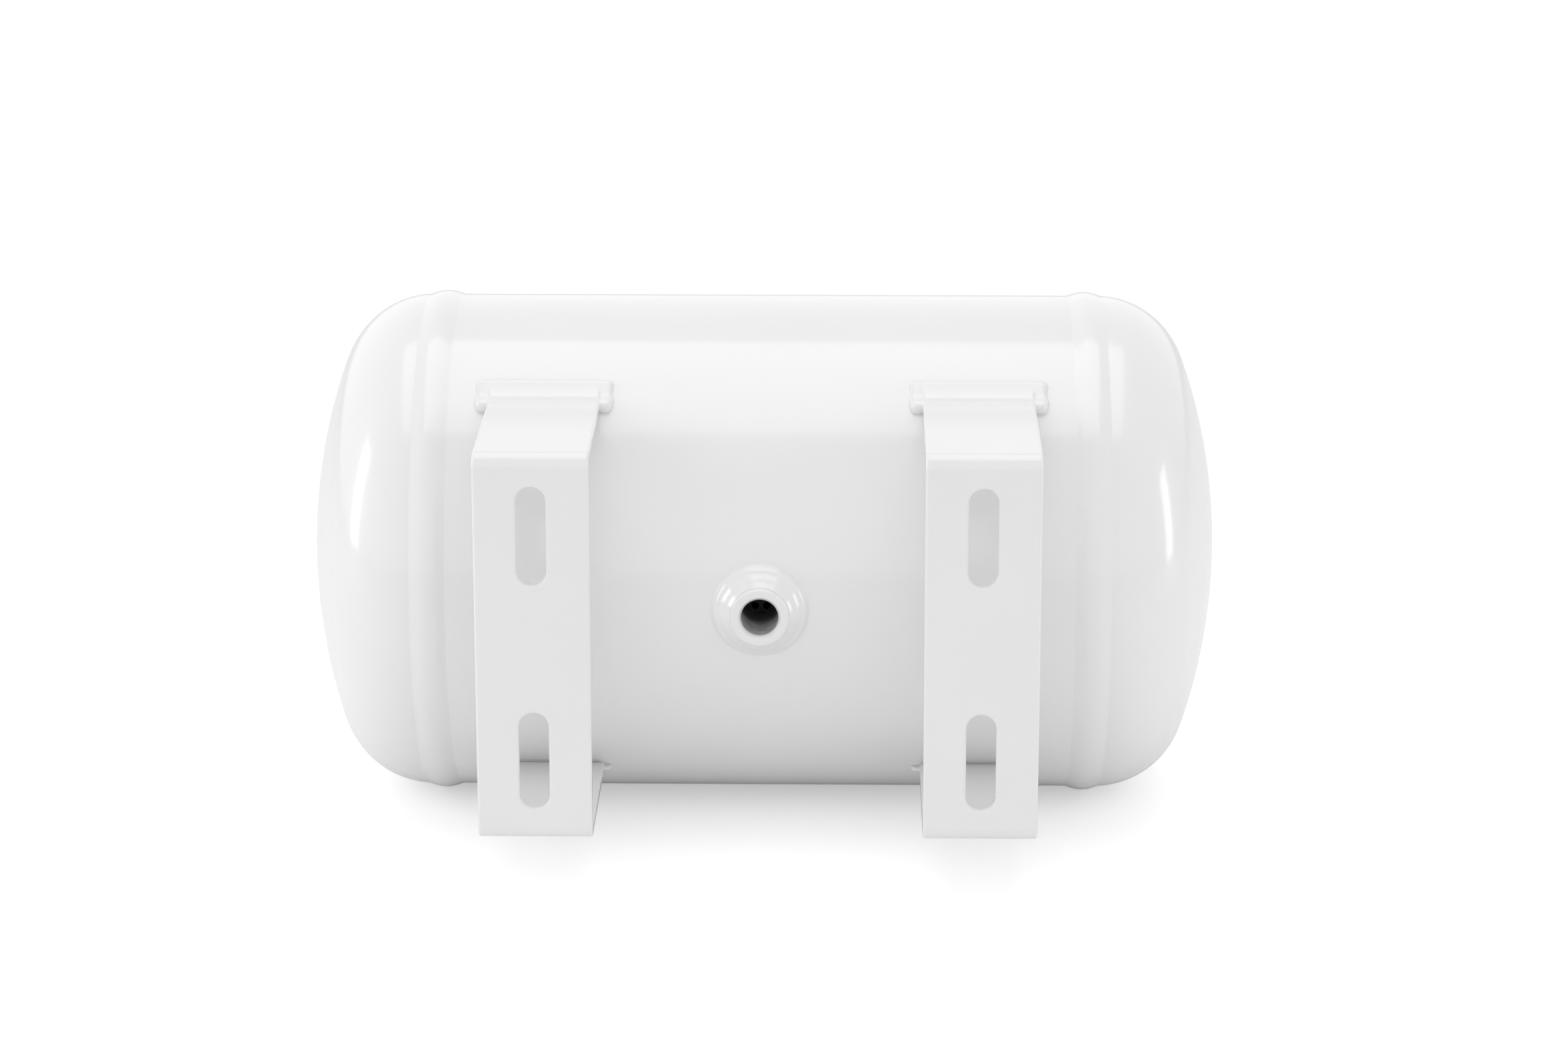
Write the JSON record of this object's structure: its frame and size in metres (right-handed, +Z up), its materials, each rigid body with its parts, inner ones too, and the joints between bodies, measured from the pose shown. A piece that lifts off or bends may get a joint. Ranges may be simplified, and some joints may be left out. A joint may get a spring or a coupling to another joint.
{
  "type": "expansion vessel",
  "caption": "Horizontal white-painted welded steel expansion vessel with dished heads, U-shaped strip wall brackets, a front threaded socket and a rear charging valve.",
  "frame": {"origin": "middle of the four bracket slots, in the plane of the brackets' wall faces", "axes": "+X along the vessel's axis, +Y away from the wall towards the vessel, +Z up"},
  "size_m": [0.2912, 0.2252, 0.1626],
  "materials": {
    "white_paint": "thick glossy white powder coat over steel",
    "plain_steel": "plain stainless steel",
    "butyl_rubber": "matt black butyl rubber",
    "seal_rubber": "black rubber",
    "valve_brass": "turned brass",
    "cap_plastic": "moulded black plastic, smooth on the cap and on the strainer disc"
  },
  "bodies": {
    "vessel": {"shell": "white_paint", "left_head": "white_paint", "right_head": "white_paint", "left_seam_weld": "white_paint", "right_seam_weld": "white_paint", "longitudinal_weld": "white_paint", "left_bracket": "white_paint", "right_bracket": "white_paint", "left_bracket_top_weld": "white_paint", "left_bracket_bottom_weld": "white_paint", "right_bracket_top_weld": "white_paint", "right_bracket_bottom_weld": "white_paint", "water_socket": "white_paint", "water_socket_weld": "white_paint", "inlet_strainer": "cap_plastic", "bladder": "butyl_rubber", "bladder_neck_ring": "plain_steel", "valve_boss": "white_paint", "valve_boss_weld": "white_paint", "valve_gasket": "seal_rubber", "valve_stem": "valve_brass", "valve_core_body": "valve_brass", "valve_core_spring": "plain_steel"},
    "valve_pin": {"valve_core_pin": "valve_brass", "valve_core_seal": "seal_rubber"},
    "cap_liner": {"valve_cap_seal": "seal_rubber"},
    "cap": {"valve_cap": "cap_plastic"}
  },
  "joints": [
    {"name": "valve_pin_press", "type": "slide", "parent": "vessel", "child": "valve_pin", "axis": [0, -1, 0], "range_m": [0, 0.0012], "stiffness_N_per_m": 1500, "springref_m": -0.002, "deforming": ["valve_core_spring"]},
    {"name": "cap_lift", "type": "slide", "parent": "vessel", "child": "cap_liner", "axis": [0, 1, 0], "range_m": [0, 0.0079]},
    {"name": "cap_turn", "type": "hinge", "parent": "cap_liner", "child": "cap", "pos_m": [0, 0.215, 0], "axis": [0, 1, 0], "range_deg": [0, 3600]}
  ],
  "couplings": [
    {"joint": "cap_turn", "follows": "cap_lift", "rad_per_m": 7913.3}
  ]
}
